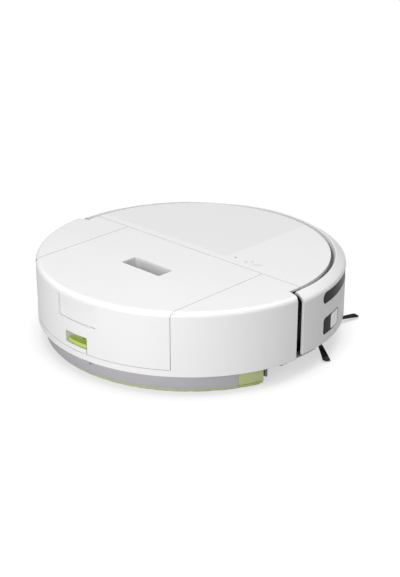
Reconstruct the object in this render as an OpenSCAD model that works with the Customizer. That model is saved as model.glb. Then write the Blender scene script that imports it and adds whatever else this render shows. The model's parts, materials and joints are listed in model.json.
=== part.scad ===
// Robot vacuum with a mopping tank, a bumper, a rear dust bin and a full underside.
// Millimetres. Z is up, the floor is z = 0, the front is -Y and the robot's right is -X.

/* [Body] */
// Diameter of the body
body_d = 345; // [330:1:420]
// Height of the top surface over the floor
body_h = 94; // [92:1:115]
// Thickness of the outer shells
wall_t = 2.4; // [1.8:0.1:3]
// Radius of the rounded rim of the rear shell
rim_r = 5.6; // [4:0.1:7]
// Height of the base plate over the floor
ground_gap = 9; // [8.5:0.1:10]
// Height of the lower edge of the shell
skirt_z = 23; // [22.8:0.1:25]
// Gap between pieces that move past each other
gap = 0.4; // [0.3:0.05:0.6]
// Radial clearance of a shaft that turns in its bore
run_fit = 0.08; // [0.03:0.01:0.1]

/* [Bumper] */
// How far the bumper gives when it is pushed
bumper_travel = 3; // [2:0.1:3.4]
// Y position of the two ends of the bumper
bumper_end_y = 11; // [8:0.5:12]
// Height of the lower edge of the bumper
bumper_z = 26; // [25.8:0.1:30]
// Width of the bumper's bevel from the outside to its ridge
bevel_w = 11; // [9:0.5:12]
// Lower edge of the sensor window band
band_z = 71; // [66:1:74]
// Height of the sensor window band
band_h = 13.5; // [8:0.5:16]
// Angle from the side to the end of the window band
band_end_a = 7.6; // [5:0.1:12]

/* [Dust bin] */
// Width of the dust bin
bin_w = 208; // [190:1:212]
// Y position of the seam in front of the bin
seam_y = -2; // [-4:0.5:0]
// Height of the lower edge of the bin's rear wall
bin_z = 30.5; // [30:0.1:34]
// Length of the hand slot in the bin's top
slot_w = 57.6; // [40:0.4:70]
// Width of the hand slot
slot_d = 21.2; // [18:0.4:28]
// Depth of the hand slot
slot_h = 28; // [20:1:32]
// Width of the emptying hatch
hatch_w = 56; // [40:1:60]
// Height of the emptying hatch
hatch_h = 23.4; // [18:0.2:24]
// Width of the latch recess
latch_w = 33; // [26:0.5:40]

/* [Wheels] */
// Diameter of a drive wheel
wheel_d = 70; // [64:1:71]
// Width of a drive wheel
wheel_w = 21.6; // [18:0.2:22.4]
// Distance between the middles of the drive wheels
track_w = 260; // [259:0.5:261]
// Distance from the suspension pivot to the axle
arm_l = 46; // [45.6:0.2:47]
// Height of the suspension pivot
pivot_z = 42; // [40:0.5:46]
// Diameter of the caster wheel
caster_d = 19; // [16:0.5:19.5]
// Distance of the caster in front of the middle
caster_y = 118; // [112:1:120]

/* [Brushes] */
// Diameter of the main brush
brush_d = 34; // [30:0.5:35]
// Length of the main brush
brush_l = 161; // [140:1:162]
// Y position of the main brush
brush_y = 12; // [11:0.5:13]
// Reach of a side brush tuft from the hub
tuft_l = 73.8; // [60:0.1:78]
// Direction of the first tuft
tuft_a = 142.4; // [130:0.1:150]

/* [Water tank] */
// Thickness of the tank's walls
tank_t = 1.8; // [1.4:0.1:2.4]
// How far the tank stands back from the outside
tank_inset = 8; // [6:0.5:10]
// Travel of the tank's side buttons
tab_travel = 3; // [2:0.5:3.5]

/* [Hidden] */
$fn = 96;
R = body_d / 2;
H = body_h;
FAR = 2 * R;
floor_t = 3;
floor_z = ground_gap + floor_t;
plate_r = R - 22.5;
base_r = R - 7.5;
base_top = skirt_z + 2;
cover_r = R - 17;
cover_z = H - 4;
ridge_r = R - bevel_w;
slope_z = H - 9;
valley_r = cover_r + bumper_travel + gap;
band_tip_a = band_end_a + asin(band_h / 2 / R);
flange_r = R - 22.5;
flange_z = cover_z - 0.5;
wall_r = cover_r - 11;
deck_z = H - 8;
deck_t = 2.4;
deck_low = deck_z - deck_t;
bin_half = bin_w / 2;
bay_half = bin_half + 0.2;
bay_wall = bay_half + wall_t;
bay_y = seam_y + 0.2;
front_wall_y = bay_y - wall_t;
window_a = 194.6;
window_w = 38.4;
window_z0 = 35;
window_z1 = 55;
window_corner = 4.4;
contact_u = -3;
contact_margin = 1.2;
notch_a = atan2(5, 14);
notch_x = cover_r + 1.5;
notch_y = bumper_end_y + bumper_travel + 1;
tank_r = R - tank_inset;
tank_y = 52.4;
step_y = 50;
rear_floor_z = skirt_z + 0.6;
rear_floor_t = 2.4;
wheel_x = track_w / 2;
wheel_r = wheel_d / 2;
pivot_y = arm_l;
well_in = wheel_x - 21;
well_out = wheel_x + 14;
well_t = 1.6;
well_front = -wheel_r - 2.5;
well_rear = 47.6;
well_top = 80;
pod_rear = pivot_y + 10;
arm_in = well_in + 1;
arm_t = 8.2;
pin_r = 3;
mouth_w = 168;
mouth_t = 2;
mouth_y0 = brush_y - 26;
mouth_y1 = brush_y + 26;
brush_z = 20;
mouth_top = 44;
guard_y = mouth_y1 - 3.5;
guard_z = ground_gap + 1.2;
guard_pin_r = 0.9;
brush_r = brush_d / 2;
core_r = 8;
hub_x = -112.8;
hub_y = -77.7;
hub_r = 14;
bay_x = 70;
cell_y0 = -72;
cell_y1 = -30;
cell_top = 52;
tub_half = bin_half - 2.5;
tub_r = R - wall_t - 0.6;
tub_z = bin_z + 0.5;
tub_step_y = 51;
tub_step_z = 47.6;
tub_t = 2;
tub_front = bay_y + 0.6;
tub_top = H - wall_t - 0.3;
flap_z = 46.8;
flap_y = tub_step_y + 2.2;
slot_y = 68;
slot_t = 1.6;
slot_corner = 1.6;
hatch_z = 62.6;
hatch_pin_z = hatch_z + hatch_h - 0.9;
hatch_sweep = 1.4;
hatch_pin_y = R - 5.5;
latch_z0 = 32.8;
latch_z1 = 49;
latch_depth = 14;
latch_back_y = R - latch_depth + 1.5;
latch_half = latch_w / 2 - 2.5;
latch_low = 36;
latch_top = 40;
latch_lip_z = 35.4;
latch_slit_w = 1.2;
tab_x = tank_r - 23.9;
rail_end = tab_x + 1.6;
rail_y0 = 60;
rail_y1 = 66;
rail_z0 = 10;
rail_z1 = 16;
plug_a = 42;
plug_z = 13.7;
plate_back = 5;
fan_x = 45;
fan_y = -48;
fan_r = 34;
fan_z = 56;
gear_x = 87;
gear_w = 16;
start_x = -71.5;
home_x = -84;
button_y = -17;
button_r = 4.8;
led_x = -52;
screw_at = [[-30, -98], [30, -98], [-84, -88], [110, -52], [-96, 20], [96, 34], [-66, -128], [66, -128]];
screw_r = 1.5;
screw_head_r = 3.1;
screw_fit = 0.1;
sensor_at = [-126, -114, -66, -54];
sensor_r = 130.5;
sensor_l = 8;
sensor_w = 18;
seat_fit = 0.1;
door_screw_at = [-62, 62];

// Points of an arc, from angle a0 to a1 in n steps
function arc(x, y, r, a0, a1, n) =
  [for (i = [0 : n]) [x + r * cos(a0 + (a1 - a0) * i / n), y + r * sin(a0 + (a1 - a0) * i / n)]];

// A rectangle between two corners, rounded
module rounded(x0, x1, y0, y1, r) {
  polygon(concat(arc(x1 - r, y1 - r, r, 0, 90, 6), arc(x0 + r, y1 - r, r, 90, 180, 6),
                 arc(x0 + r, y0 + r, r, 180, 270, 6), arc(x1 - r, y0 + r, r, 270, 360, 6)));
}

// A box between two corners
module box(a, b) {
  translate(a) cube(b - a);
}

// The same box on both sides of the middle plane
module both_boxes(a, b) {
  for (side = [0, 1]) mirror([side, 0, 0]) box(a, b);
}

// A cylinder along X from x0 to x1
module rod_x(x0, x1, y, z, r) {
  translate([x0, y, z]) rotate([0, 90, 0]) cylinder(h = x1 - x0, r = r);
}

// A ring between two radii and two heights
module ring(r0, r1, z0, z1) {
  translate([0, 0, z0]) difference() {
    cylinder(h = z1 - z0, r = r1);
    translate([0, 0, -1]) cylinder(h = z1 - z0 + 2, r = r0);
  }
}

// A disc about the body's axis
module disc(r, z0, z1) {
  translate([0, 0, z0]) cylinder(h = z1 - z0, r = r);
}

// A wedge about the body's axis, under half a turn wide
module wedge(a0, a1, z0, z1) {
  am = (a0 + a1) / 2;
  translate([0, 0, z0]) linear_extrude(z1 - z0)
    polygon([[0, 0], FAR * [cos(a0), sin(a0)], 2 * FAR * [cos(am), sin(am)], FAR * [cos(a1), sin(a1)]]);
}

// A coil of square wire standing on z = 0
module coil(r, wire, h, turns) {
  span = 360 * 2 * wire * turns / h;
  linear_extrude(height = h, twist = -360 * turns, slices = turns * 10, $fn = 4)
    polygon(concat(arc(0, 0, r, -span / 2, span / 2, 3), arc(0, 0, r - 2 * wire, span / 2, -span / 2, 3)));
}

// The rounded outer shell, from the middle to the lower edge
module shell_skin() {
  rotate_extrude($fn = 180) polygon(concat(
    [[0, H]],
    arc(R - rim_r, H - rim_r, rim_r, 90, 0, 6),
    [[R, skirt_z], [R - wall_t, skirt_z]],
    arc(R - rim_r, H - rim_r, rim_r - wall_t, 0, 90, 6),
    [[0, H - wall_t]]
  ));
}

// Plan of the shoulders beside the dust bin, cut back for the ends of the bumper
module shoulder_plan() {
  difference() {
    union() {
      for (side = [0, 1]) mirror([side, 0])
        polygon([[bay_half, notch_y], [notch_x, notch_y], [notch_x + FAR, notch_y + FAR * tan(notch_a)],
                 [bay_half, FAR]]);
      intersection() {
        circle(r = cover_r);
        translate([-FAR, bay_y]) square([2 * FAR, 60]);
      }
    }
    translate([-bay_half, bay_y - 1]) square([2 * bay_half, FAR]);
  }
}

module base_plate() {
  color("#9a9ca0") difference() {
    union() {
      // dished plate with a low rim
      intersection() {
        rotate_extrude($fn = 180) polygon([
          [0, ground_gap], [plate_r, ground_gap], [base_r, skirt_z - 1], [base_r, base_top],
          [base_r - wall_t, base_top], [base_r - wall_t, skirt_z], [plate_r - 1, floor_z], [0, floor_z]
        ]);
        box([-FAR, -FAR, 0], [FAR, step_y, H]);
      }
      // ledge under the ends of the bumper
      intersection() {
        ring(base_r - 1, R - wall_t - 0.3, skirt_z, base_top);
        box([-FAR, -14, 0], [FAR, step_y, H]);
      }
      // raised floor over the water tank
      intersection() {
        disc(R - wall_t - 0.3, rear_floor_z, rear_floor_z + rear_floor_t);
        box([-FAR, step_y - wall_t, 0], [FAR, FAR, H]);
      }
      box([-base_r + 9, step_y - wall_t, ground_gap], [base_r - 9, step_y, rear_floor_z + rear_floor_t]);
      // battery bay
      box([-bay_x - 2, cell_y0 - 2, ground_gap + 1], [bay_x + 2, cell_y1 + 2, cell_top + 2]);
      // caster socket
      translate([0, -caster_y, ground_gap + 1]) cylinder(h = 15, r = 20.5);
      translate([0, -caster_y, ground_gap + 1]) cylinder(h = 31, r = 9);
    }
    // openings for the wheel housings and the brush housing
    both_boxes([well_in - well_t - seat_fit, well_front - well_t - seat_fit, -1],
               [well_out + well_t + seat_fit, step_y + seat_fit, H]);
    both_boxes([well_in - well_t - seat_fit, step_y - wall_t, rear_floor_z - 1],
               [well_out + well_t + seat_fit, pod_rear + well_t + seat_fit, H]);
    box([-mouth_w / 2 - mouth_t - seat_fit, mouth_y0 - mouth_t - seat_fit, -1],
        [mouth_w / 2 + mouth_t + seat_fit, mouth_y1 + mouth_t + seat_fit, H]);
    // battery opening
    box([-bay_x, cell_y0, -1], [bay_x, cell_y1, cell_top]);
    // caster pocket and stem hole
    translate([0, -caster_y, -1]) cylinder(h = 23.5, r = 18.5);
    translate([0, -caster_y, 0]) cylinder(h = 38, r = 4 + run_fit);
    // side brush shaft
    translate([hub_x, hub_y, 0]) cylinder(h = 20, r = pin_r + gap);
    // pockets for sensors and contacts
    for (a = sensor_at) rotate([0, 0, a])
      box([sensor_r - seat_fit, -sensor_w / 2 - seat_fit, 0],
          [sensor_r + sensor_l + seat_fit, sensor_w / 2 + seat_fit, ground_gap + 1.5 + seat_fit]);
    both_boxes([19.9, -caster_y - 18.6, 0], [40.1, -caster_y - 9.4, ground_gap + 1.1]);
    for (p = screw_at) translate([p[0], p[1], 0]) {
      cylinder(h = ground_gap + 1.6, r = screw_head_r + 2 * screw_fit);
      cylinder(h = 30, r = screw_r + screw_fit);
    }
  }
}

// Boxes over the drive wheels, with the bores of the suspension pivots
module wheel_housings() {
  color("#a2a4a8") difference() {
    union() {
      both_boxes([well_in - well_t, well_front - well_t, ground_gap],
                 [well_out + well_t, step_y, well_top + well_t]);
      both_boxes([well_in - well_t, step_y - wall_t, rear_floor_z],
                 [well_out + well_t, pod_rear + well_t, well_top + well_t]);
    }
    both_boxes([well_in, well_front, -1], [well_out, well_rear, well_top]);
    both_boxes([well_in, well_front, rear_floor_z + rear_floor_t], [well_out, pod_rear, well_top]);
    for (side = [0, 1]) mirror([side, 0, 0])
      rod_x(well_in - well_t - 1, well_out + well_t + 1, pivot_y, pivot_z, pin_r + run_fit);
  }
}

// Box over the main brush, with its outlet to the dust bin
module brush_housing() {
  color("#a2a4a8") difference() {
    union() {
      box([-mouth_w / 2 - mouth_t, mouth_y0 - mouth_t, ground_gap],
          [mouth_w / 2 + mouth_t, mouth_y1 + mouth_t, mouth_top + mouth_t]);
      box([-62, mouth_y1, 31], [62, tub_step_y - tub_t - gap - 0.2, mouth_top + mouth_t]);
    }
    box([-mouth_w / 2, mouth_y0, -1], [mouth_w / 2, mouth_y1, mouth_top]);
    box([-58, mouth_y1 - 1, 33], [58, step_y + 1, mouth_top]);
    rod_x(-mouth_w / 2 - 3, mouth_w / 2 + 3, brush_y, brush_z, pin_r + run_fit);
    rod_x(-mouth_w / 2 - 1.6, mouth_w / 2 + 1.6, guard_y, guard_z, guard_pin_r + run_fit);
  }
}

module upper_shell() {
  color("#eeeeee") difference() {
    union() {
      intersection() {
        shell_skin();
        translate([0, 0, skirt_z - 1]) linear_extrude(H) shoulder_plan();
      }
      // band under the rear wall of the dust bin
      intersection() {
        shell_skin();
        box([-bay_half - 1, 20, 0], [bay_half + 1, FAR, bin_z - gap]);
      }
      // walls of the bin's bay
      intersection() {
        both_boxes([bay_half, bay_y, 28], [bay_wall, FAR, H - 1]);
        disc(R - 1, 0, H);
      }
      both_boxes([bay_half, front_wall_y, 28], [bay_wall, bay_y, deck_z]);
      box([-bay_wall, front_wall_y, 50], [bay_wall, bay_y, deck_z]);
      // deck under the front cover
      intersection() {
        disc(wall_r, deck_low, deck_z);
        box([-FAR, -FAR, 0], [FAR, bay_y, H]);
      }
      // front wall behind the bumper
      intersection() {
        ring(wall_r - wall_t, wall_r, 28, deck_z);
        box([-86, -FAR, 0], [86, 0, H]);
      }
      // end walls facing the bumper
      intersection() {
        for (side = [0, 1]) mirror([side, 0, 0])
          translate([notch_x, notch_y, base_top + 1]) rotate([0, 0, notch_a])
            cube([17, wall_t, H - base_top - 3]);
        disc(R - 1, 0, H);
      }
    }
    // passage from the bin's filter to the fan
    box([fan_x - 29, front_wall_y - 1, fan_z + 2], [fan_x + 29, bay_y + 1, deck_low - 3]);
  }
}

module front_cover() {
  color("#f0f0f0") difference() {
    union() {
      intersection() {
        union() {
          disc(cover_r, H - wall_t, H);
          ring(cover_r - wall_t, cover_r, cover_z, H);
          ring(wall_r - 6, wall_r - 3.6, deck_z, H - 1);
        }
        box([-FAR, -FAR, 0], [FAR, seam_y - 0.2, H + 1]);
      }
      intersection() {
        box([-FAR, seam_y - wall_t, cover_z], [FAR, seam_y - 0.2, H]);
        disc(cover_r, 0, H);
      }
    }
    // seat of the textured inlay
    intersection() {
      disc(cover_r - 1.4, H - 1, H + 1);
      box([led_x + 10, -FAR, H - 1], [FAR, seam_y - 11, H + 1]);
    }
    for (x = [start_x, home_x]) translate([x, button_y, cover_z - 1]) cylinder(h = 9, r = button_r + 0.3);
    translate([led_x, button_y, cover_z - 1]) cylinder(h = 9, r = 1.3);
  }
}

module cover_inlay() {
  color("#e4e4e4") intersection() {
    disc(cover_r - 1.5, H - 0.95, H);
    box([led_x + 10.1, -FAR, H - 1], [FAR, seam_y - 11.1, H + 1]);
  }
}

// A button cap with a ring groove, its flange under the cover and its stem
module button_cap(x, ring_r) {
  translate([x, button_y, 0]) difference() {
    union() {
      translate([0, 0, H - 4.5]) cylinder(h = 4.5, r = button_r);
      translate([0, 0, H - wall_t - 2]) cylinder(h = 1.6, r = button_r + 1);
      translate([0, 0, deck_z + 2.4]) cylinder(h = 2.2, r = 1.6);
    }
    translate([0, 0, H - 0.3]) difference() {
      cylinder(h = 1, r = ring_r + 0.35);
      translate([0, 0, -1]) cylinder(h = 3, r = ring_r - 0.35);
    }
  }
}

module start_button() {
  color("#f4f4f4") button_cap(start_x, 2.8);
}

module home_button() {
  color("#f4f4f4") button_cap(home_x, 2.1);
}

module status_light() {
  color("#d8e8ff") translate([led_x, button_y, deck_z + 1.3]) cylinder(h = H - deck_z - 1.3, r = 1.25);
}

module bumper_shell() {
  color("#f0f0f0") difference() {
    intersection() {
      rotate_extrude($fn = 180) polygon([
        [R, bumper_z], [R, H - 8.5], [R - 0.6, H - 6.4], [R - 2.2, H - 4.7], [R - 4.5, H - 3.4],
        [ridge_r + 1, H + 0.3], [ridge_r, H + 0.5], [ridge_r - 0.8, H + 0.1],
        [valley_r, flange_z], [flange_r, flange_z], [flange_r, flange_z - 2.4],
        [ridge_r - 1, flange_z - 2.4], [ridge_r + 0.6, H - 2.8], [R - 5.5, H - 5.8],
        [R - wall_t - 0.6, slope_z], [R - wall_t - 0.6, bumper_z]
      ]);
      box([-FAR, -FAR, 0], [FAR, bumper_end_y, FAR]);
    }
    band_space(R - 6, R + 2, 0);
    // openings of the side windows
    for (side = [0, 1]) mirror([side, 0, 0]) intersection() {
      ring(R - 6, R + 2, window_z0 - 1, window_z1 + 1);
      window_field(-window_w / 2, window_w / 2, 0);
    }
  }
}

// Round-ended band along the bumper's front, shrunk by a margin
module band_space(r0, r1, margin) {
  end_r = band_h / 2 + 0.4 - margin;
  intersection() {
    ring(r0, r1, band_z + margin, band_z + band_h - margin);
    union() {
      wedge(180 + band_tip_a, 360 - band_tip_a, 0, H);
      for (a = [180 + band_tip_a, 360 - band_tip_a])
        rotate([0, 0, a]) rod_x(R - 12, R + 8, 0, band_z + band_h / 2, end_r);
    }
  }
}

// Rounded field beside the window's middle, cut along the radius, shrunk by a margin
module window_field(u0, u1, margin) {
  rotate([0, 0, window_a]) translate([R - 20, 0, 0]) rotate([90, 0, 90]) linear_extrude(40)
    rounded(u0 + margin, u1 - margin, window_z0 + margin, window_z1 - margin, window_corner - margin);
}

module bumper_window() {
  color("#333538") union() {
    band_space(R - 5, R - 0.4, 0.1);
    intersection() {
      ring(R - 5.2, R - wall_t - 0.7, band_z - 1, min(band_z + band_h + 1, slope_z - 0.2));
      wedge(180 + band_end_a, 360 - band_end_a, 0, H);
    }
  }
}

// Dark windows with seats for the contact plates
module side_windows() {
  color("#1c1c1e") for (side = [0, 1]) mirror([side, 0, 0]) difference() {
    intersection() {
      ring(R - 4.6, R - 0.3, window_z0, window_z1);
      window_field(-window_w / 2, window_w / 2, seat_fit);
    }
    intersection() {
      ring(R - 1.6, R + 1, window_z0, window_z1);
      window_field(contact_u, window_w / 2, contact_margin);
    }
  }
}

module charge_contacts() {
  color("#e8e8ea") for (side = [0, 1]) mirror([side, 0, 0]) intersection() {
    ring(R - 1.5, R - 0.1, window_z0, window_z1);
    window_field(contact_u, window_w / 2, contact_margin + seat_fit);
  }
}

module bumper_springs() {
  spring_x = 60;
  back_y = sqrt(wall_r * wall_r - spring_x * spring_x) + 2;
  front_y = sqrt(pow(R - 3, 2) - spring_x * spring_x) - 3;
  color("#b8bcc0") for (side = [-1, 1])
    translate([side * spring_x, -back_y, 50]) rotate([90, 0, 0]) coil(3.6, 0.5, front_y - back_y, 6);
}

module distance_sensor() {
  front_y = -(R - 5.2 - bumper_travel - 1.2);
  color("#26282b") union() {
    box([-24, front_y + 4, 66], [24, -wall_r - 0.2, deck_low - 0.2]);
    for (x = [-14, 14]) translate([x, front_y + 5, 75]) rotate([90, 0, 0]) cylinder(h = 5, r = 5);
  }
}

module gap_strips() {
  color("#6a6c70") for (side = [0, 1]) mirror([side, 0, 0])
    translate([notch_x, notch_y, base_top + 2]) rotate([0, 0, notch_a]) translate([1.4, -1.9, 0])
      cube([7, 1.8, H - base_top - 9]);
}

module bin_shell() {
  color("#eeeeee") difference() {
    union() {
      intersection() {
        shell_skin();
        box([-bin_half + 0.2, seam_y + 0.2, bin_z], [bin_half - 0.2, FAR, H + 1]);
      }
      // ears for the pins of the hatch
      both_boxes([hatch_w / 2 + 0.4, hatch_pin_y - 2.5, hatch_pin_z - 2.5],
                 [hatch_w / 2 + 3.2, hatch_pin_y + 1.6, hatch_pin_z + 2.5]);
    }
    // hand slot with rounded corners
    translate([0, slot_y, H - 10]) linear_extrude(20) slot_plan(0);
    // hatch opening
    box([-hatch_w / 2 - 0.3, R - 12, hatch_z - 0.3],
        [hatch_w / 2 + 0.3, FAR, hatch_z + hatch_h + hatch_sweep]);
    rod_x(-hatch_w / 2 - 4, hatch_w / 2 + 4, hatch_pin_y, hatch_pin_z, 1 + run_fit);
    // mouth of the latch recess
    box([-latch_w / 2, R - 16, latch_lip_z], [latch_w / 2, FAR, latch_z1]);
    box([-latch_w / 2, R - 16, bin_z - 1], [-latch_w / 2 + latch_slit_w, FAR, latch_lip_z + 1]);
  }
}

// Plan of the hand slot, grown by some margin
module slot_plan(grow) {
  w = slot_w / 2 - slot_corner;
  d = slot_d / 2 - slot_corner;
  for (x = [-w, w], y = [-d, d]) translate([x, y]) circle(r = slot_corner + grow);
  square([slot_w - 2 * slot_corner, slot_d + 2 * grow], center = true);
  square([slot_w + 2 * grow, slot_d - 2 * slot_corner], center = true);
}

module hand_slot_liner() {
  color("#8c8e92") translate([0, slot_y, 0]) difference() {
    translate([0, 0, H - wall_t - slot_h]) linear_extrude(slot_h - 0.1) slot_plan(slot_t);
    translate([0, 0, H - wall_t - slot_h + slot_t]) linear_extrude(slot_h) slot_plan(0.1);
  }
}

// Outside of the tub, bevelled at the top to clear the shell's rounded rim
module tub_outside() {
  rotate_extrude($fn = 180) polygon([
    [0, tub_z], [tub_r, tub_z], [tub_r, H - rim_r], [tub_r - rim_r / 2, tub_top], [0, tub_top]
  ]);
}

module dust_tub() {
  color("#b9bdc2") difference() {
    intersection() {
      union() {
        // walls
        difference() {
          tub_outside();
          difference() {
            disc(tub_r - tub_t, 0, H);
            both_boxes([tub_half - tub_t, -FAR, 0], [FAR, FAR, H]);
            box([-FAR, -FAR, 0], [FAR, tub_front + tub_t, H]);
            box([-FAR, tub_step_y - tub_t, 0], [FAR, tub_step_y, tub_step_z]);
          }
        }
        box([-FAR, tub_step_y - tub_t, tub_z], [FAR, FAR, tub_z + tub_t]);
        box([-FAR, -FAR, tub_step_z], [FAR, tub_step_y, tub_step_z + tub_t]);
        // ears for the pins of the inlet flap
        both_boxes([60, tub_step_y - 1, flap_z - 2], [63, flap_y + 2, tub_step_z + tub_t]);
      }
      box([-tub_half, tub_front, 0], [tub_half, FAR, H]);
      tub_outside();
    }
    // space over the brush housing
    box([-FAR, -FAR, 0], [FAR, tub_step_y - tub_t, tub_step_z]);
    // opening to the filter, inlet, hatch and latch
    box([fan_x - 27, -10, 56], [fan_x + 27, tub_front + tub_t + 1, 80]);
    box([-57, tub_step_y - 5, 33.4], [57, tub_step_y + 1, 45]);
    rod_x(-64, 64, flap_y, flap_z, 0.8 + run_fit);
    box([-hatch_w / 2 - 4, R - 20, hatch_z - 1], [hatch_w / 2 + 4, FAR, hatch_z + hatch_h + 3]);
    box([-latch_w / 2 - 2, R - latch_depth - 2.5, 0], [latch_w / 2 + 2, FAR, latch_z1 + 2]);
  }
}

module dust_filter() {
  y0 = tub_front + tub_t + 0.3;
  pleats = 12;
  pitch = 50 / pleats;
  color("#d9dbd2") union() {
    difference() {
      box([fan_x - 30, y0, 53], [fan_x + 30, y0 + 11, 83]);
      box([fan_x - 26, y0 - 1, 57], [fan_x + 26, y0 + 12, 79]);
    }
    for (i = [0 : pleats - 1]) translate([fan_x - 25 + i * pitch, y0 + 1, 56.5])
      linear_extrude(23) polygon([[0, 0], [0.8, 0], [pitch / 2 + 0.4, 8], [pitch - 0.1, 0.6], [pitch, 1.8],
                                  [pitch / 2 + 0.4, 9.4]]);
  }
}

module inlet_flap() {
  color("#4a4c50") union() {
    box([-59.4, flap_y - 0.9, 32.9 + 0.4], [59.4, flap_y + 0.4, flap_z]);
    rod_x(-59.4, 59.4, flap_y, flap_z, 1.3);
    rod_x(-62.6, 62.6, flap_y, flap_z, 0.8);
  }
}

module emptying_hatch() {
  color("#ececec") union() {
    intersection() {
      ring(R - 4.2, R - 2.1, hatch_z, hatch_z + hatch_h);
      box([-hatch_w / 2, 0, 0], [hatch_w / 2, FAR, H]);
    }
    rod_x(-hatch_w / 2, hatch_w / 2, hatch_pin_y, hatch_pin_z, 1.4);
    rod_x(-hatch_w / 2 - 3, hatch_w / 2 + 3, hatch_pin_y, hatch_pin_z, 1);
  }
}

module latch_pocket() {
  color("#e6e7e8") intersection() {
    difference() {
      box([-latch_w / 2 - 1.6, R - latch_depth - 1.6, tub_z], [latch_w / 2 + 1.6, R, latch_z1 + 1.6]);
      difference() {
        box([-latch_w / 2, R - latch_depth, latch_z0], [latch_w / 2, R + 5, latch_z1]);
        // lip below the latch
        box([-latch_half, R - 9, 0], [latch_half, R + 5, latch_lip_z]);
      }
    }
    disc(R - wall_t - 0.5, 0, H);
  }
}

module bin_latch() {
  color("#a8d03c") intersection() {
    union() {
      box([-latch_half, latch_back_y, latch_low], [latch_half, R, latch_top]);
      box([-latch_half, latch_back_y, latch_low - 1.4], [latch_half, R - 9.6, latch_low + 1]);
    }
    disc(R - 1.4, 0, H);
  }
}

module latch_spring() {
  color("#b8bcc0") translate([0, latch_back_y + 1.4, latch_top + 0.05])
    coil(1.3, 0.25, latch_z1 - latch_top - 0.1, 5);
}

module fan_housing() {
  color("#3a3c40") difference() {
    union() {
      translate([fan_x, fan_y, fan_z]) cylinder(h = deck_low - fan_z - 0.3, r = fan_r);
      box([fan_x - 27, -20, fan_z], [fan_x + 27, front_wall_y - 0.1, deck_low - 0.3]);
    }
    translate([fan_x, fan_y, fan_z + 2]) cylinder(h = deck_low - fan_z - 4.3, r = fan_r - 2);
    box([fan_x - 25, -30, fan_z + 2], [fan_x + 25, 0, deck_low - 2.3]);
  }
}

module fan_motor() {
  color("#888c92") translate([fan_x, fan_y, fan_z + 2.05]) union() {
    cylinder(h = 9, r = 13);
    cylinder(h = 19, r = 1.5);
  }
}

module fan_impeller() {
  color("#cfd2d6") translate([fan_x, fan_y, fan_z + 11.8]) difference() {
    union() {
      cylinder(h = 1.6, r = 26);
      cylinder(h = 8, r = 7);
      for (i = [0 : 10]) rotate([0, 0, i * 360 / 11]) translate([6, 0, 0]) rotate([0, 0, -28])
        translate([0, -0.7, 0.8]) cube([19, 1.4, 8]);
    }
    translate([0, 0, -1]) cylinder(h = 12, r = 1.5 + run_fit);
  }
}

module brush_core() {
  half = brush_l / 2;
  color("#2e3033") union() {
    rod_x(-half, half, brush_y, brush_z, core_r);
    rod_x(-mouth_w / 2 - 1.8, mouth_w / 2 + 5, brush_y, brush_z, pin_r);
  }
}

module brush_blades() {
  half = brush_l / 2 - 2;
  color("#5a5d62") translate([0, brush_y, brush_z]) rotate([0, 90, 0])
    for (side = [0, 1], i = [0 : 5]) mirror([0, 0, side]) rotate([0, 0, i * 60])
      linear_extrude(height = half - 0.2, twist = 60, slices = 12, $fn = 4)
        translate([core_r + 0.1, -0.8]) square([brush_r - core_r - 0.1, 1.6]);
}

module brush_guard() {
  w = mouth_w / 2 - 2;
  z0 = ground_gap - 0.6;
  z1 = ground_gap + 2.2;
  color("#3b3d42") union() {
    difference() {
      box([-w, mouth_y0 + 0.5, z0], [w, mouth_y1 - 0.5, z1]);
      box([-w + 2.8, mouth_y0 + 5, 0], [w - 2.8, mouth_y1 - 5, 20]);
    }
    // bars that pass under the brush
    for (x = [-60, -30, 0, 30, 60]) intersection() {
      difference() {
        rod_x(x - 1, x + 1, brush_y, brush_z, 24);
        rod_x(x - 2, x + 2, brush_y, brush_z, brush_r + 0.8);
      }
      box([x - 1, mouth_y0 + 1, 0.8], [x + 1, mouth_y1 - 1, z1]);
    }
    rod_x(-w - 3.2, -w + 1, guard_y, guard_z, guard_pin_r);
    rod_x(w - 1, w + 3.2, guard_y, guard_z, guard_pin_r);
  }
}

module brush_gearbox() {
  color("#4d5056") difference() {
    box([gear_x, -90, floor_z + 0.2], [gear_x + gear_w, brush_y + 15, 38]);
    rod_x(gear_x - 1, gear_x + 4, brush_y, brush_z, pin_r + run_fit);
  }
}

module brush_motor() {
  color("#a4a8ae") rod_x(gear_x + gear_w + 0.1, gear_x + gear_w + 24, -76, 26, 11);
}

module side_brush_hub() {
  color("#1d1d1f") translate([hub_x, hub_y, 0]) union() {
    translate([0, 0, 5.4]) cylinder(h = 3, r = hub_r);
    translate([0, 0, 6]) cylinder(h = 12, r = pin_r);
    for (i = [0 : 2]) rotate([0, 0, tuft_a + i * 120]) box([8, -3, 5.4], [30, 3, 8]);
  }
}

module side_brush_tufts() {
  root = 30.2;
  drop = 4.6;
  strand_l = sqrt(pow(tuft_l - root, 2) + drop * drop);
  color("#17171a") translate([hub_x, hub_y, 0]) for (i = [0 : 2]) rotate([0, 0, tuft_a + i * 120]) {
    box([root, -2.6, 5.5], [root + 3, 2.6, 7.8]);
    for (fan_a = [-3, -1.5, 0, 1.5, 3])
      translate([root + 2.4, fan_a * 0.3, 6.6]) rotate([0, 90 + asin(drop / strand_l), fan_a])
        cylinder(h = strand_l - 2.4, r = 0.7, $fn = 24);
  }
}

module side_brush_motor() {
  color("#5b5e63") translate([hub_x, hub_y, 0]) difference() {
    union() {
      translate([0, 0, floor_z + 0.2]) cylinder(h = 14, r = 10);
      translate([0, 0, floor_z + 14]) cylinder(h = 20, r = 8.5);
    }
    translate([0, 0, floor_z - 1]) cylinder(h = 9, r = pin_r + run_fit);
  }
}

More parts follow.
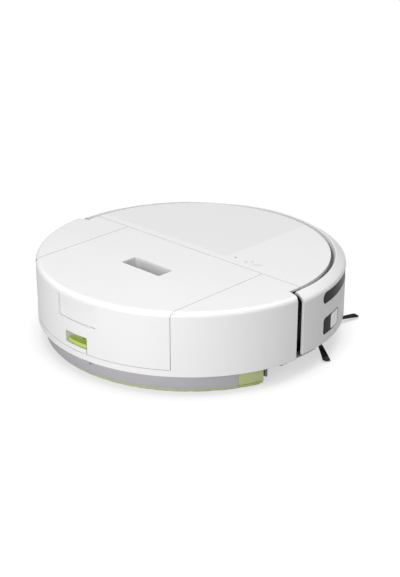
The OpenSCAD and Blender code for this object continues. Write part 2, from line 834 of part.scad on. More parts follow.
// Suspension arm with its pivot and the wheel's axle, for the left side
module drive_arm() {
  rise = pivot_z - wheel_r;
  union() {
    translate([arm_in, 0, wheel_r]) rotate([90, 0, 90]) linear_extrude(arm_t) {
      circle(r = 14);
      translate([pivot_y, rise]) circle(r = 9);
      polygon([[3, -9], [pivot_y - 2, rise - 6], [pivot_y - 2, rise + 6], [3, 9]]);
    }
    rod_x(well_in - well_t + 0.2, arm_in + 2, pivot_y, pivot_z, pin_r);
    rod_x(arm_in + 3, wheel_x + wheel_w / 2, 0, wheel_r, pin_r);
  }
}

module wheel_motor() {
  union() {
    rod_x(arm_in + arm_t + 0.05, well_out - 1, pivot_y, pivot_z, 8.6);
    rod_x(well_out - 2, well_out + well_t - 0.2, pivot_y, pivot_z, pin_r);
  }
}

module wheel_hub() {
  x0 = wheel_x - wheel_w / 2;
  x1 = wheel_x + wheel_w / 2;
  difference() {
    rod_x(x0, x1, 0, wheel_r, wheel_r - 8);
    rod_x(x1 - 5, x1 + 1, 0, wheel_r, wheel_r - 11);
    rod_x(x0 - 1, x1 + 1, 0, wheel_r, pin_r + run_fit);
    for (i = [0 : 5]) translate([0, 0, wheel_r]) rotate([i * 60, 0, 0])
      rod_x(x0 - 1, x1 + 1, 0, (wheel_r - 8) * 0.58, 5);
  }
}

module tyre() {
  x0 = wheel_x - wheel_w / 2;
  lugs = 24;
  difference() {
    rod_x(x0, x0 + wheel_w, 0, wheel_r, wheel_r);
    rod_x(x0 - 1, x0 + wheel_w + 1, 0, wheel_r, wheel_r - 7.95);
    for (i = [0 : lugs - 1]) translate([wheel_x, 0, wheel_r]) rotate([(i + 0.5) * 360 / lugs, 0, 0])
      for (side = [-1, 1]) translate([side * wheel_w / 4, 0, wheel_r])
        rotate([0, 0, side * 25]) cube([wheel_w, 2.4, 3.6], center = true);
  }
}

module arm_right() {
  color("#505358") mirror([1, 0, 0]) drive_arm();
}

module arm_left() {
  color("#505358") drive_arm();
}

module wheel_motor_right() {
  color("#a4a8ae") mirror([1, 0, 0]) wheel_motor();
}

module wheel_motor_left() {
  color("#a4a8ae") wheel_motor();
}

module wheel_hub_right() {
  color("#74777c") mirror([1, 0, 0]) wheel_hub();
}

module wheel_hub_left() {
  color("#74777c") wheel_hub();
}

module tyre_right() {
  color("#202124") mirror([1, 0, 0]) tyre();
}

module tyre_left() {
  color("#202124") tyre();
}

module wheel_springs() {
  seat_z = wheel_r + 15;
  color("#b8bcc0") for (side = [-1, 1])
    translate([side * (arm_in + arm_t / 2), 4, seat_z]) coil(3.6, 0.5, well_top - seat_z, 7);
}

module caster_fork() {
  color("#3f4146") translate([0, -caster_y, 0]) difference() {
    union() {
      translate([0, 0, caster_d / 2]) cylinder(h = 22 - caster_d / 2, r = 17.6);
      cylinder(h = 36, r = 4);
      both_boxes([8, 0, 6], [11, 8, caster_d / 2 + 1]);
    }
    box([-7.8, -6.4, -1], [7.8, 14.4, 20.4]);
    rod_x(-10.7, 10.7, 4, caster_d / 2, 1.5 + run_fit);
  }
}

module caster_wheel() {
  color("#d9dadd") union() {
    rod_x(-7.2, 7.2, 4 - caster_y, caster_d / 2, caster_d / 2);
    rod_x(-10.3, 10.3, 4 - caster_y, caster_d / 2, 1.5);
  }
}

module battery() {
  color("#3d6ea8") box([-bay_x + 3, cell_y0 + 2.5, 13.5], [bay_x - 3, cell_y1 - 2.5, cell_top - 1.5]);
}

module battery_door() {
  color("#8e9095") difference() {
    box([-bay_x + 0.2, cell_y0 + 0.2, ground_gap], [bay_x - 0.2, cell_y1 - 0.2, ground_gap + 2.4]);
    for (x = door_screw_at) translate([x, (cell_y0 + cell_y1) / 2, 0]) cylinder(h = 20, r = 1.7);
  }
}

// Main board with its parts, and the small board under the buttons
module circuit_boards() {
  color("#2c6e49") union() {
    box([home_x - 9, button_y - 8, deck_z], [led_x + 6, button_y + 8, deck_z + 1.2]);
    box([-90, -104, 60], [4, -20, 61.6]);
    box([-70, -88, 61], [-54, -72, 63.4]);
    box([-40, -70, 61], [-28, -58, 63]);
    box([-84, -60, 61], [-76, -36, 66]);
    for (x = [-60, -44]) translate([x, -34, 61]) cylinder(h = 12, r = 4.5);
  }
}

module cliff_sensors() {
  color("#2a2226") for (a = sensor_at) rotate([0, 0, a])
    box([sensor_r, -sensor_w / 2, ground_gap], [sensor_r + sensor_l, sensor_w / 2, ground_gap + 1.5]);
}

module dock_contacts() {
  color("#c9b48a")
    both_boxes([20, -caster_y - 18.5, ground_gap - 0.4], [40, -caster_y - 9.5, ground_gap + 1]);
}

module base_screws() {
  color("#70747a") for (p = screw_at) translate([p[0], p[1], 0]) difference() {
    union() {
      translate([0, 0, ground_gap + 0.3]) cylinder(h = 1.2, r = screw_head_r);
      translate([0, 0, ground_gap + 0.5]) cylinder(h = 9, r = screw_r);
    }
    for (a = [0, 90]) rotate([0, 0, a]) translate([0, 0, ground_gap + 0.5])
      cube([3.6, 0.8, 1], center = true);
  }
}

// The tank's outline in plan, without the corners that hold the side buttons
module tank_outline(z0, z1, inset) {
  difference() {
    intersection() {
      disc(tank_r - inset, z0, z1);
      box([-FAR, tank_y + inset, 0], [FAR, FAR, H]);
    }
    both_boxes([tab_x - tab_travel - gap - inset, 0, 0], [FAR, 79 + inset, H]);
  }
}

module water_tank() {
  color("#b8b4bc") difference() {
    union() {
      tank_outline(4.8, skirt_z - 2.3, 0);
      // rails that guide the side buttons
      both_boxes([tab_x - tab_travel - 1.2, rail_y0, rail_z0], [rail_end, rail_y1, rail_z1]);
      // catch under the edge of the shell
      intersection() {
        ring(tank_r - 1, R - 2.4, 18, skirt_z - 2.3);
        box([-16, 0, 0], [-5, FAR, H]);
      }
    }
    tank_outline(4.8 + tank_t, skirt_z, tank_t);
    rotate([0, 0, plug_a]) rod_x(tank_r - 10, tank_r + 5, 0, plug_z, 5.3);
  }
}

module tank_lid() {
  color("#c2bfc6") tank_outline(skirt_z - 2.25, skirt_z - 0.4, 0);
}

// Side button of the tank, for the left side
module tank_button() {
  difference() {
    intersection() {
      disc(tank_r, 5.4, skirt_z - 0.6);
      box([tab_x, tank_y + 0.6, 0], [FAR, 78.4, H]);
    }
    box([0, rail_y0 - gap, rail_z0 - gap], [rail_end + tab_travel + gap, rail_y1 + gap, rail_z1 + gap]);
  }
}

module tank_button_right() {
  color("#a6b577") mirror([1, 0, 0]) tank_button();
}

module tank_button_left() {
  color("#a6b577") tank_button();
}

module tank_plug() {
  color("#6e7076") rotate([0, 0, plug_a]) union() {
    rod_x(tank_r - 4.5, tank_r + 0.8, 0, plug_z, 4.9);
    rod_x(tank_r + 0.4, tank_r + 1.6, 0, plug_z, 6.4);
  }
}

module mop_plate() {
  color("#a8d03c") difference() {
    intersection() {
      disc(tank_r - 0.8, 3, 4.7);
      box([-FAR, tank_y + 0.6, 0], [FAR, FAR, H]);
    }
    // finger notch at the rear
    rotate([0, 0, 92]) box([tank_r - 5, -9, 0], [FAR, 9, 4]);
    // left part of the edge, set back
    intersection() {
      ring(tank_r - plate_back, FAR, 0, H);
      wedge(0, 85, 0, H);
    }
  }
}

module mop_pad() {
  color("#d5d6d8") intersection() {
    disc(tank_r - 2.4, 0.2, 2.9);
    box([-FAR, tank_y + 3, 0], [FAR, FAR, H]);
  }
}

base_plate();
wheel_housings();
brush_housing();
upper_shell();
front_cover();
cover_inlay();
start_button();
home_button();
status_light();
bumper_shell();
bumper_window();
side_windows();
charge_contacts();
bumper_springs();
distance_sensor();
gap_strips();
bin_shell();
dust_tub();
hand_slot_liner();
dust_filter();
inlet_flap();
emptying_hatch();
latch_pocket();
bin_latch();
latch_spring();
fan_housing();
fan_impeller();
fan_motor();
brush_core();
brush_blades();
brush_guard();
brush_gearbox();
brush_motor();
side_brush_hub();
side_brush_tufts();
side_brush_motor();
arm_right();
arm_left();
wheel_motor_right();
wheel_motor_left();
wheel_hub_right();
wheel_hub_left();
tyre_right();
tyre_left();
wheel_springs();
caster_fork();
caster_wheel();
battery();
battery_door();
circuit_boards();
cliff_sensors();
dock_contacts();
base_screws();
water_tank();
tank_lid();
tank_button_right();
tank_button_left();
tank_plug();
mop_plate();
mop_pad();
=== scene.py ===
import json
import math
import random

import bmesh
import bpy
from bpy.props import FloatProperty, FloatVectorProperty, IntProperty, PointerProperty
from mathutils import Matrix, Vector


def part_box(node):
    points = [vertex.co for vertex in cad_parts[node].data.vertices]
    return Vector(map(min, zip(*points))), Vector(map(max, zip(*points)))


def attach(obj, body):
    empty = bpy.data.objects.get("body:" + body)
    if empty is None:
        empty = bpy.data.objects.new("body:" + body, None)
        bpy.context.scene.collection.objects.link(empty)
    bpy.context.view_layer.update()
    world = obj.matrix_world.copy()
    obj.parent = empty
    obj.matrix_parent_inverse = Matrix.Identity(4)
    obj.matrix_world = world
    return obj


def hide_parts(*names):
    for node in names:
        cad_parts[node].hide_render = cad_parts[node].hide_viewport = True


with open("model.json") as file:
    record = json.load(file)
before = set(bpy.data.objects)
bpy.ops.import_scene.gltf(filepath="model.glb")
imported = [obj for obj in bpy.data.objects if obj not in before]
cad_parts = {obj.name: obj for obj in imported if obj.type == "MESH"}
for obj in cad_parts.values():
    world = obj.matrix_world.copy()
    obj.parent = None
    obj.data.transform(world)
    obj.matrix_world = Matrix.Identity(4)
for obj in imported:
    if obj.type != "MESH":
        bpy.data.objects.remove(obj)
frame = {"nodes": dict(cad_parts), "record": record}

bl_info = {
    "name": "Robot vacuum",
    "version": (1, 0, 0),
    "blender": (4, 5, 0),
    "location": "View3D > Sidebar > Vacuum",
    "description": "Finishes, bristles, mop pad, small marks and a stage for a robot vacuum",
    "category": "Object",
}

MM = 0.001
SHARP_ANGLE = math.radians(32)
ARM_STEP = math.radians(120)
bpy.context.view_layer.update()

# Pieces whose edges are softened, with the radius of the softening in millimetres
SOFT_EDGES = {
    "upper_shell": 0.5, "front_cover": 0.45, "bumper_shell": 0.5, "bin_shell": 0.5,
    "emptying_hatch": 0.45, "latch_pocket": 0.35, "bin_latch": 0.6, "hand_slot_liner": 0.3,
    "water_tank": 0.4, "tank_button_right": 0.6, "tank_button_left": 0.6, "tank_plug": 0.3,
    "mop_plate": 0.4, "side_windows": 0.35, "bumper_window": 0.35,
    "charge_contacts": 0.2, "start_button": 0.25, "home_button": 0.25, "cover_inlay": 0.15,
    "wheel_hub_right": 0.5, "wheel_hub_left": 0.5, "tyre_right": 0.35, "tyre_left": 0.35,
    "caster_fork": 0.4, "caster_wheel": 0.6, "side_brush_hub": 0.4, "base_plate": 0.5,
    "brush_guard": 0.3, "brush_housing": 0.5, "wheel_housings": 0.5, "battery_door": 0.35,
    "gap_strips": 0.3, "cliff_sensors": 0.2,
    "dock_contacts": 0.2, "arm_right": 0.5, "arm_left": 0.5, "brush_core": 0.4, "dust_tub": 0.4,
    "inlet_flap": 0.2, "fan_housing": 0.5, "brush_gearbox": 0.5, "battery": 1.5,
}


# ---------------------------------------------------------------- settings


class StageSettings(bpy.types.PropertyGroup):
    azimuth: FloatProperty(name="Azimuth", description="Camera direction round the robot",
                           default=math.radians(223.65), subtype="ANGLE")
    elevation: FloatProperty(name="Elevation", description="Camera height as an angle",
                             default=math.radians(23.34), subtype="ANGLE")
    place: FloatVectorProperty(name="Place", description="Camera location", subtype="TRANSLATION",
                               unit="LENGTH", size=3, default=(-0.8942, 0.9227, 0.6010))
    lens: FloatProperty(name="Lens", description="Focal length in millimetres", default=77.2)
    key_power: FloatProperty(name="Key light", description="Power of the key softbox", default=13.0)
    sun: FloatProperty(name="Top light", description="Strength of the broad light from above", default=2.9)
    floor_glow: FloatProperty(name="Floor glow", description="How much the floor lights up to the camera",
                              default=0.6)
    floor_bounce: FloatProperty(name="Floor bounce", description="How much the floor lights up to the robot",
                                default=0.12)
    fill: FloatProperty(name="Fill", description="Strength of the white surroundings", default=0.15)


class FinishSettings(bpy.types.PropertyGroup):
    white: FloatVectorProperty(name="White", description="Colour of the shells", subtype="COLOR", size=3,
                               default=(0.80, 0.80, 0.797))
    inlay: FloatVectorProperty(name="Inlay", description="Colour of the textured field", subtype="COLOR",
                               size=3, default=(0.69, 0.69, 0.687))
    base_grey: FloatVectorProperty(name="Base grey", description="Colour of the underside", subtype="COLOR",
                                   size=3, default=(0.20, 0.205, 0.215))
    dark: FloatVectorProperty(name="Dark", description="Colour of dark moulded parts", subtype="COLOR",
                              size=3, default=(0.022, 0.022, 0.024))
    green: FloatVectorProperty(name="Green", description="Colour of the grips", subtype="COLOR", size=3,
                               default=(0.50, 0.65, 0.09))
    tank: FloatVectorProperty(name="Tank", description="Tint of the tank", subtype="COLOR", size=3,
                              default=(0.62, 0.603, 0.635))


class BrushSettings(bpy.types.PropertyGroup):
    strands: IntProperty(name="Strands", description="Bristles in a side brush tuft", default=64, min=8)
    strand_radius: FloatProperty(name="Bristle radius", description="Radius of one bristle", default=0.00042,
                                 unit="LENGTH")
    fan: FloatProperty(name="Fan", description="Half the angle that a tuft opens to",
                       default=math.radians(3.2), subtype="ANGLE")
    row_tufts: IntProperty(name="Row tufts", description="Tufts in a row of the main brush", default=34,
                           min=4)


# ---------------------------------------------------------------- node groups


def socket(group, name, kind, inward, value=None):
    """Adds a named socket to a node group."""
    side = "INPUT" if inward else "OUTPUT"
    made = group.interface.new_socket(name=name, in_out=side, socket_type=kind)
    if value is not None:
        made.default_value = value


def new_group(name, inputs, outputs):
    """An empty shader group with its input and output nodes."""
    group = bpy.data.node_groups.new(name, "ShaderNodeTree")
    for key, kind, value in inputs:
        socket(group, key, kind, True, value)
    for key, kind in outputs:
        socket(group, key, kind, False)
    return group, group.nodes.new("NodeGroupInput"), group.nodes.new("NodeGroupOutput")


def object_point(tree, stretch=(1, 1, 1)):
    """Object coordinates, stretched along the axes."""
    coord = tree.nodes.new("ShaderNodeTexCoord")
    mapping = tree.nodes.new("ShaderNodeMapping")
    mapping.inputs["Scale"].default_value = stretch
    tree.links.new(coord.outputs["Object"], mapping.inputs["Vector"])
    return mapping.outputs["Vector"]


def noise(tree, point, scale, detail=3.0, rough=0.55):
    """A noise texture's value at a point."""
    node = tree.nodes.new("ShaderNodeTexNoise")
    node.inputs["Scale"].default_value = scale
    node.inputs["Detail"].default_value = detail
    node.inputs["Roughness"].default_value = rough
    tree.links.new(point, node.inputs["Vector"])
    return node


def arithmetic(tree, operation, first, second):
    """A maths node on two sockets or numbers."""
    node = tree.nodes.new("ShaderNodeMath")
    node.operation = operation
    for slot, value in zip(node.inputs, (first, second)):
        if isinstance(value, (int, float)):
            slot.default_value = value
        else:
            tree.links.new(value, slot)
    return node.outputs["Value"]


def grain_group():
    """Moulded plastic: a fine spark-eroded grain and a broad unevenness of gloss."""
    group, start, end = new_group(
        "Moulded grain", [("Scale", "NodeSocketFloat", 900.0)],
        [("Height", "NodeSocketFloat"), ("Mottle", "NodeSocketFloat"), ("Smudge", "NodeSocketFloat")])
    point = object_point(group)
    fine = noise(group, point, 900.0, 2.0)
    group.links.new(start.outputs["Scale"], fine.inputs["Scale"])
    broad = noise(group, point, 26.0, 4.0)
    smudge = noise(group, object_point(group, (1, 1.8, 1)), 9.0, 5.0, 0.65)
    group.links.new(fine.outputs["Fac"], end.inputs["Height"])
    group.links.new(broad.outputs["Fac"], end.inputs["Mottle"])
    group.links.new(smudge.outputs["Fac"], end.inputs["Smudge"])
    return group


def speckle_group():
    """A field of tiny embossed dots."""
    group, start, end = new_group(
        "Embossed dots", [("Scale", "NodeSocketFloat", 420.0)],
        [("Height", "NodeSocketFloat"), ("Dots", "NodeSocketFloat")])
    cells = group.nodes.new("ShaderNodeTexVoronoi")
    cells.inputs["Randomness"].default_value = 0.55
    group.links.new(start.outputs["Scale"], cells.inputs["Scale"])
    group.links.new(object_point(group), cells.inputs["Vector"])
    ramp = group.nodes.new("ShaderNodeMapRange")
    ramp.inputs["From Min"].default_value = 0.18
    ramp.inputs["From Max"].default_value = 0.42
    ramp.inputs["To Min"].default_value = 1.0
    ramp.inputs["To Max"].default_value = 0.0
    group.links.new(cells.outputs["Distance"], ramp.inputs["Value"])
    group.links.new(ramp.outputs["Result"], end.inputs["Height"])
    group.links.new(ramp.outputs["Result"], end.inputs["Dots"])
    return group


def lines_group():
    """Fine lines along one axis, as on brushed or turned metal."""
    group, start, end = new_group(
        "Tool lines", [("Scale", "NodeSocketFloat", 60.0)],
        [("Height", "NodeSocketFloat"), ("Streak", "NodeSocketFloat")])
    lines = noise(group, object_point(group, (1, 1, 30)), 60.0, 3.0)
    group.links.new(start.outputs["Scale"], lines.inputs["Scale"])
    patches = noise(group, object_point(group), 70.0, 3.0)
    group.links.new(lines.outputs["Fac"], end.inputs["Height"])
    group.links.new(patches.outputs["Fac"], end.inputs["Streak"])
    return group


def loops_group():
    """Microfibre loops: rows of small knots, with painted shade in the gaps between them."""
    group, start, end = new_group(
        "Microfibre loops", [("Scale", "NodeSocketFloat", 520.0)],
        [("Height", "NodeSocketFloat"), ("Gap", "NodeSocketFloat"), ("Fuzz", "NodeSocketFloat")])
    knots = group.nodes.new("ShaderNodeTexVoronoi")
    knots.inputs["Randomness"].default_value = 0.75
    group.links.new(start.outputs["Scale"], knots.inputs["Scale"])
    group.links.new(object_point(group, (1, 0.6, 1)), knots.inputs["Vector"])
    fuzz = noise(group, object_point(group), 1500.0, 2.0)
    height = arithmetic(group, "SUBTRACT", 1.0, knots.outputs["Distance"])
    group.links.new(height, end.inputs["Height"])
    group.links.new(knots.outputs["Distance"], end.inputs["Gap"])
    group.links.new(fuzz.outputs["Fac"], end.inputs["Fuzz"])
    return group


def traces_group():
    """Copper tracks and pads of a circuit board."""
    group, start, end = new_group(
        "Board tracks", [("Scale", "NodeSocketFloat", 130.0)],
        [("Tracks", "NodeSocketFloat"), ("Height", "NodeSocketFloat")])
    cells = group.nodes.new("ShaderNodeTexVoronoi")
    cells.distance = "CHEBYCHEV"
    cells.feature = "F2"
    group.links.new(start.outputs["Scale"], cells.inputs["Scale"])
    group.links.new(object_point(group, (1, 1, 0.01)), cells.inputs["Vector"])
    bands = arithmetic(group, "SINE", arithmetic(group, "MULTIPLY", cells.outputs["Distance"], 26.0), 0.0)
    mask = arithmetic(group, "GREATER_THAN", bands, 0.55)
    group.links.new(mask, end.inputs["Tracks"])
    group.links.new(bands, end.inputs["Height"])
    return group


GROUP_MAKERS = {"grain": grain_group, "dots": speckle_group, "lines": lines_group, "loops": loops_group,
                "tracks": traces_group}
GROUPS = {}


def shared(name):
    """A shared node group, built the first time it is wanted."""
    if name not in GROUPS:
        GROUPS[name] = GROUP_MAKERS[name]()
    return GROUPS[name]


# ---------------------------------------------------------------- materials


def blank(name, colour, roughness, **plain):
    """A material with a Principled shader and plain values on its sockets."""
    mat = bpy.data.materials.new(name)
    mat.use_nodes = True
    shader = mat.node_tree.nodes["Principled BSDF"]
    shader.inputs["Base Color"].default_value = (*colour, 1)
    shader.inputs["Roughness"].default_value = roughness
    for key, value in plain.items():
        shader.inputs[key.replace("_", " ")].default_value = value
    mat.diffuse_color = (*colour, 1)
    return mat, mat.node_tree, shader


def place_group(tree, name, scale):
    """A shared group in a material, with its own scale."""
    node = tree.nodes.new("ShaderNodeGroup")
    node.node_tree = shared(name)
    node.inputs["Scale"].default_value = scale
    return node


def tint(tree, shader, factor, first, second):
    """Base colour that varies between two colours with a factor."""
    mix = tree.nodes.new("ShaderNodeMix")
    mix.data_type = "RGBA"
    mix.inputs["A"].default_value = (*first, 1)
    mix.inputs["B"].default_value = (*second, 1)
    tree.links.new(factor, mix.inputs["Factor"])
    tree.links.new(mix.outputs["Result"], shader.inputs["Base Color"])


def vary_roughness(tree, shader, factor, low, high):
    """Roughness that runs from low to high with a factor."""
    spread = tree.nodes.new("ShaderNodeMapRange")
    spread.inputs["From Min"].default_value = 0.3
    spread.inputs["From Max"].default_value = 0.7
    spread.inputs["To Min"].default_value = low
    spread.inputs["To Max"].default_value = high
    tree.links.new(factor, spread.inputs["Value"])
    tree.links.new(spread.outputs["Result"], shader.inputs["Roughness"])


def bump(tree, shader, height, depth, strength=1.0):
    """Bump on the shader's normal, with a depth in metres."""
    node = tree.nodes.new("ShaderNodeBump")
    node.inputs["Strength"].default_value = strength
    node.inputs["Distance"].default_value = depth
    tree.links.new(height, node.inputs["Height"])
    tree.links.new(node.outputs["Normal"], shader.inputs["Normal"])


def shade(colour, share):
    """A colour made lighter or darker by a share."""
    return tuple(min(1.0, c * share) for c in colour)


def moulded(name, colour, roughness, grain=900.0, depth=0.00002, mottle=0.06, **plain):
    """Moulded plastic or rubber with grain, broad mottling and uneven gloss."""
    mat, tree, shader = blank(name, colour, roughness, **plain)
    group = place_group(tree, "grain", grain)
    tint(tree, shader, group.outputs["Mottle"], shade(colour, 1 - mottle), shade(colour, 1 + mottle))
    vary_roughness(tree, shader, group.outputs["Smudge"], roughness * 0.85, min(1.0, roughness * 1.15))
    bump(tree, shader, group.outputs["Height"], depth)
    return mat


def metal(name, colour, roughness, lines=60.0, depth=0.00001):
    """Turned or brushed metal."""
    mat, tree, shader = blank(name, colour, roughness, Metallic=1.0)
    group = place_group(tree, "lines", lines)
    tint(tree, shader, group.outputs["Streak"], shade(colour, 0.88), shade(colour, 1.06))
    vary_roughness(tree, shader, group.outputs["Streak"], roughness * 0.8, roughness * 1.25)
    bump(tree, shader, group.outputs["Height"], depth)
    return mat


def dotted(name, colour):
    """White field with a fine embossed texture."""
    mat, tree, shader = blank(name, colour, 0.55)
    group = place_group(tree, "dots", 620.0)
    tint(tree, shader, group.outputs["Dots"], shade(colour, 0.985), shade(colour, 1.03))
    bump(tree, shader, group.outputs["Height"], 0.00005, 0.5)
    return mat


def microfibre(name, colour):
    """Looped microfibre cloth."""
    mat, tree, shader = blank(name, colour, 0.95, Sheen_Weight=0.35, Sheen_Roughness=0.5)
    group = place_group(tree, "loops", 520.0)
    # Painted shade and light: darker in the gaps between loops, a little lighter on the knots
    tint(tree, shader, group.outputs["Gap"], shade(colour, 1.05), shade(colour, 0.6))
    bump(tree, shader, group.outputs["Height"], 0.0006)
    return mat


def board(name, colour):
    """Circuit board with its tracks under the green lacquer."""
    mat, tree, shader = blank(name, colour, 0.35, Coat_Weight=0.4)
    group = place_group(tree, "tracks", 130.0)
    tint(tree, shader, group.outputs["Tracks"], colour, shade(colour, 1.9))
    bump(tree, shader, group.outputs["Height"], 0.00003, 0.4)
    return mat


def clear(name, colour, transmission, roughness):
    """Tinted translucent plastic."""
    mat, tree, shader = blank(name, colour, roughness, Transmission_Weight=transmission, IOR=1.45)
    group = place_group(tree, "grain", 500.0)
    tint(tree, shader, group.outputs["Mottle"], shade(colour, 0.95), shade(colour, 1.05))
    bump(tree, shader, group.outputs["Height"], 0.00002, 0.4)
    return mat


def finishes(settings):
    """Every finish by name."""
    white = tuple(settings.white)
    dark = tuple(settings.dark)
    green = tuple(settings.green)
    return {
        "shell": moulded("Shell white", white, 0.32, 1400.0, 0.000006, 0.006, Coat_Weight=0.25,
                         Coat_Roughness=0.12),
        "inlay": dotted("Textured white", tuple(settings.inlay)),
        "key": moulded("Button white", shade(white, 0.98), 0.3, 1400.0, 0.000004, 0.008),
        "base": moulded("Base grey", tuple(settings.base_grey), 0.55, 1100.0, 0.00005, 0.07),
        # Painted shade: a near-black colour for faces inside seams and gaps, standing in for the shade that
        # falls there
        "seam": moulded("Painted seam shade", (0.07, 0.07, 0.072), 0.6, 1400.0, 0.000006, 0.02),
        "slot": moulded("Slot grey", (0.72, 0.725, 0.73), 0.5, 1100.0, 0.00003, 0.04),
        # Painted shade: the dark gap strips sit in the gaps between shells where only shade falls
        "gap_shade_strip": moulded("Gap strip grey", (0.075, 0.077, 0.082), 0.4, 1100.0, 0.00003, 0.05),
        "tub": clear("Smoked tub", (0.42, 0.43, 0.45), 0.35, 0.22),
        "dark": moulded("Dark moulding", dark, 0.45, 1000.0, 0.00004, 0.12),
        "window": moulded("Window black", (0.009, 0.009, 0.010), 0.22, 420.0, 0.00001, 0.35,
                          Specular_IOR_Level=0.12),
        "plate": metal("Contact plate", (0.93, 0.93, 0.94), 0.2, 40.0, 0.000004),
        "spring": metal("Spring steel", (0.6, 0.61, 0.63), 0.28),
        "motor": metal("Motor can", (0.52, 0.53, 0.55), 0.33),
        "gold": metal("Dock contact", (0.82, 0.68, 0.42), 0.25),
        "screw": metal("Screw steel", (0.38, 0.39, 0.41), 0.3, 90.0),
        "green": moulded("Grip green", green, 0.3, 1100.0, 0.00001, 0.03, Coat_Weight=0.3),
        "green_clear": clear("Clear green", (0.66, 0.73, 0.35), 0.25, 0.2),
        "tank": clear("Tank smoke", tuple(settings.tank), 0.3, 0.24),
        "board": board("Circuit board", (0.015, 0.13, 0.055)),
        "battery": moulded("Battery wrap", (0.02, 0.09, 0.24), 0.3, 300.0, 0.00003, 0.08, Coat_Weight=0.5),
        "blade": moulded("Blade rubber", (0.10, 0.105, 0.115), 0.6, 900.0, 0.00004, 0.1),
        "tyre": moulded("Tyre rubber", (0.018, 0.018, 0.019), 0.72, 700.0, 0.00008, 0.18),
        "bristle": moulded("Nylon bristle", (0.012, 0.012, 0.013), 0.38, 2200.0, 0.00002, 0.2),
        "brush_bristle": moulded("Brush bristle", (0.04, 0.042, 0.047), 0.45, 2200.0, 0.00002, 0.2),
        "paper": moulded("Filter paper", (0.72, 0.73, 0.66), 0.9, 1500.0, 0.00008, 0.06),
        "cloth": microfibre("Mop cloth", (0.62, 0.63, 0.65)),
        "lens": clear("Light lens", (0.30, 0.31, 0.33), 0.3, 0.3),
        "mark": moulded("Printed mark", (0.55, 0.55, 0.56), 0.5, 1200.0, 0.000002, 0.02),
    }


# Shells whose faces in seams and gaps are painted with shade
PAINTED_SEAM_NODES = ("upper_shell", "bin_shell", "front_cover", "bumper_shell")

# Which finish each CAD node takes
NODE_FINISH = {
    "shell": ["upper_shell", "front_cover", "bumper_shell", "bin_shell", "emptying_hatch", "latch_pocket"],
    "inlay": ["cover_inlay"],
    "key": ["start_button", "home_button"],
    "base": ["base_plate", "wheel_housings", "brush_housing", "battery_door"],
    "slot": ["hand_slot_liner", "wheel_hub_right", "wheel_hub_left", "fan_impeller", "caster_wheel"],
    # The dark gap strips are painted shade in the gaps between shells
    "gap_shade_strip": ["gap_strips"],
    "tub": ["dust_tub"],
    "dark": ["fan_housing", "brush_core", "brush_guard", "brush_gearbox", "side_brush_motor",
             "side_brush_hub", "arm_right", "arm_left", "caster_fork", "distance_sensor"],
    "window": ["bumper_window", "side_windows", "cliff_sensors"],
    "plate": ["charge_contacts"],
    "spring": ["bumper_springs", "latch_spring", "wheel_springs"],
    "motor": ["fan_motor", "brush_motor", "wheel_motor_right", "wheel_motor_left"],
    "gold": ["dock_contacts"],
    "screw": ["base_screws"],
    "green": ["bin_latch", "mop_plate"],
    "green_clear": ["tank_button_right", "tank_button_left"],
    "tank": ["water_tank", "tank_lid"],
    "board": ["circuit_boards"],
    "battery": ["battery"],
    "blade": ["brush_blades", "tank_plug", "inlet_flap"],
    "tyre": ["tyre_right", "tyre_left"],
    "bristle": ["side_brush_tufts"],
    "paper": ["dust_filter"],
    "cloth": ["mop_pad"],
    "lens": ["status_light"],
}
FINISHES = {}


# ---------------------------------------------------------------- mesh helpers


def joint_place(name):
    """Where a joint of the record sits."""
    for joint in frame["record"]["behaviour"]["joints"]:
        if joint["name"] == name:
            return Vector(joint["pos_m"])
    raise ValueError(name + " is no joint")


def middle(node):
    """Middle of a CAD node's box."""
    low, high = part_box(node)
    return (Vector(low) + Vector(high)) / 2


def add_piece(name, mesh_maker, finish, body, replaced=()):
    """A new piece made by a function that fills a bmesh, riding on a body."""
    mesh = bpy.data.meshes.new(name)
    bm = bmesh.new()
    mesh_maker(bm)
    bmesh.ops.remove_doubles(bm, verts=bm.verts, dist=0.000001)
    bmesh.ops.recalc_face_normals(bm, faces=bm.faces)
    for face in bm.faces:
        face.smooth = True
    bm.to_mesh(mesh)
    bm.free()
    piece = bpy.data.objects.new(name, mesh)
    bpy.context.scene.collection.objects.link(piece)
    mesh.materials.append(FINISHES[finish])
    if replaced:
        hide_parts(*replaced)
    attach(piece, body)
    return piece


def body_with(node):
    """The CAD body that a node rides on."""
    for name, nodes in frame["record"]["behaviour"]["bodies"].items():
        if node in nodes:
            return name
    raise ValueError(node + " rides on no body")


def in_seam(node, face, bin_box, cover_box):
    """Whether a face gets painted shade: a face inside a seam or a gap between two shells, or an upward face
    of the bumper beside the cover.
    """
    spot, normal = face.calc_center_median(), face.normal
    (bin_low, bin_high), (cover_low, cover_high) = bin_box, cover_box
    near = 0.7 * MM
    upright = abs(normal.z) < 0.2
    if node in ("upper_shell", "bin_shell", "front_cover"):
        at_side = abs(abs(spot.x) - bin_high[0]) < near and abs(normal.x) > 0.9
        at_front = min(abs(spot.y - bin_low[1]), abs(spot.y - cover_high[1])) < near and abs(normal.y) > 0.9
        at_foot = node == "bin_shell" and abs(spot.z - bin_low[2]) < near and abs(normal.z) > 0.9
        at_end = abs(spot.x) > cover_high[0] and normal.y < -0.9 and upright
        return at_side or at_front or at_foot or at_end
    if node == "bumper_shell":
        return normal.z > 0.9 and cover_low[2] - 3 * MM < spot.z < cover_high[2] - 3 * MM
    return False


